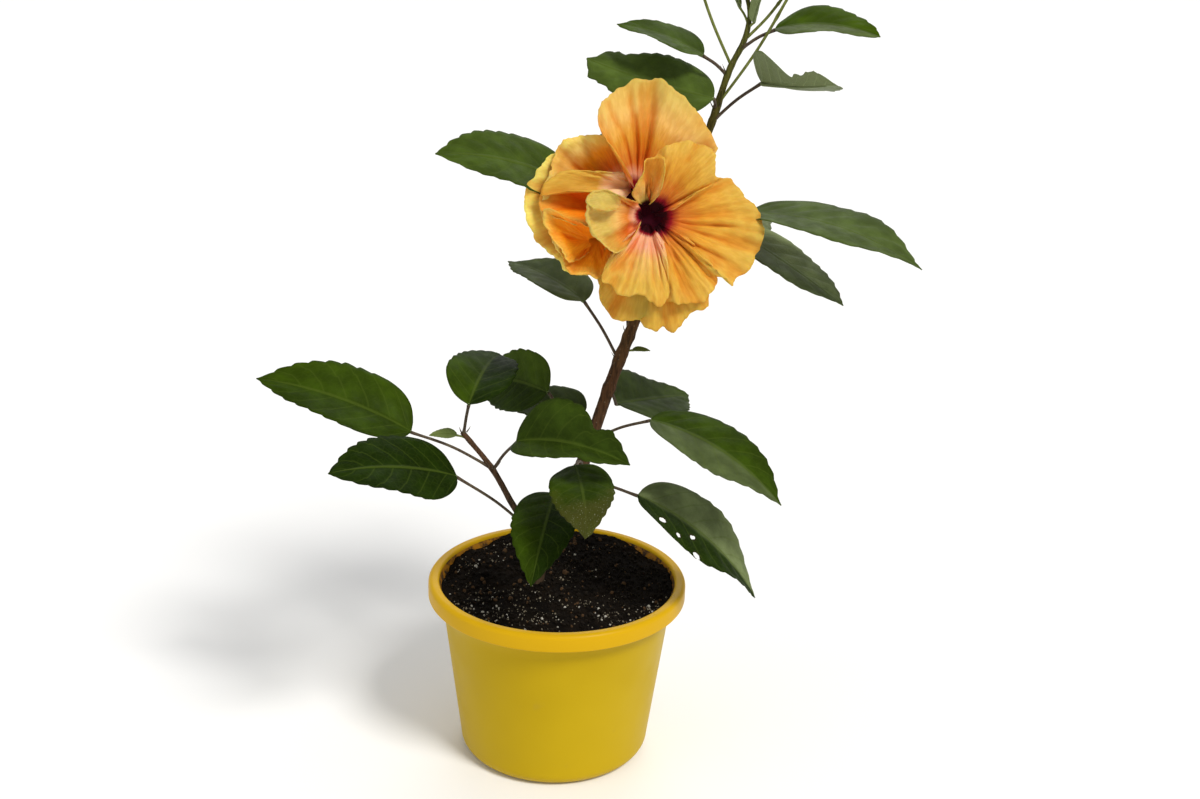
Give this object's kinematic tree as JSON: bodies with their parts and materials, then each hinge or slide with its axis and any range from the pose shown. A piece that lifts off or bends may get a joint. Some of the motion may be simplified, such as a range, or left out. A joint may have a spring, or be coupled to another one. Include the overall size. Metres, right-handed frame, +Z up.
{
  "type": "hibiscus shrub in pot",
  "caption": "Young hibiscus shrub with a large double bloom, glossy leaves and flower buds, growing in a round tapered pot.",
  "frame": {"origin": "centre of the pot's flat underside, where it stands", "axes": "+Z up along the pot's axis, -Y towards the front, the side the bloom faces, +X to the right seen from the front"},
  "size_m": [0.382, 0.2376, 0.5207],
  "materials": {
    "pot_plastic": "satin",
    "potting_mix": "matte",
    "bark": "matte",
    "leaf_green": "satin",
    "bud_green": "satin",
    "petal_orange": "matte"
  },
  "bodies": {
    "root": {"bloom": "petal_orange", "bloom_stalk": "bud_green", "flower_bud_high": "bud_green", "flower_bud_left": "bud_green", "flower_bud_right": "bud_green", "leaf_back_high": "leaf_green", "leaf_back_low": "leaf_green", "leaf_back_middle": "leaf_green", "leaf_centre": "leaf_green", "leaf_centre_back": "leaf_green", "leaf_far_left": "leaf_green", "leaf_folded_right": "leaf_green", "leaf_front": "leaf_green", "leaf_low_left": "leaf_green", "leaf_low_right": "leaf_green", "leaf_mid_left": "leaf_green", "leaf_mid_right": "leaf_green", "leaf_mid_right_back": "leaf_green", "leaf_over_soil": "leaf_green", "leaf_shoot_left": "leaf_green", "leaf_side_tip": "leaf_green", "leaf_tiny": "leaf_green", "leaf_top_left": "leaf_green", "leaf_top_left_small": "leaf_green", "leaf_top_right": "leaf_green", "leaf_under_bloom": "leaf_green", "leaf_upper_left": "leaf_green", "leaf_upper_right": "leaf_green", "leaf_upper_right_low": "leaf_green", "leaf_young_back": "leaf_green", "leaf_young_front": "leaf_green", "leaf_young_left": "leaf_green", "main_stem": "bark", "pot": "pot_plastic", "potting_mix": "potting_mix", "side_stem": "bark"}
  },
  "joints": []
}
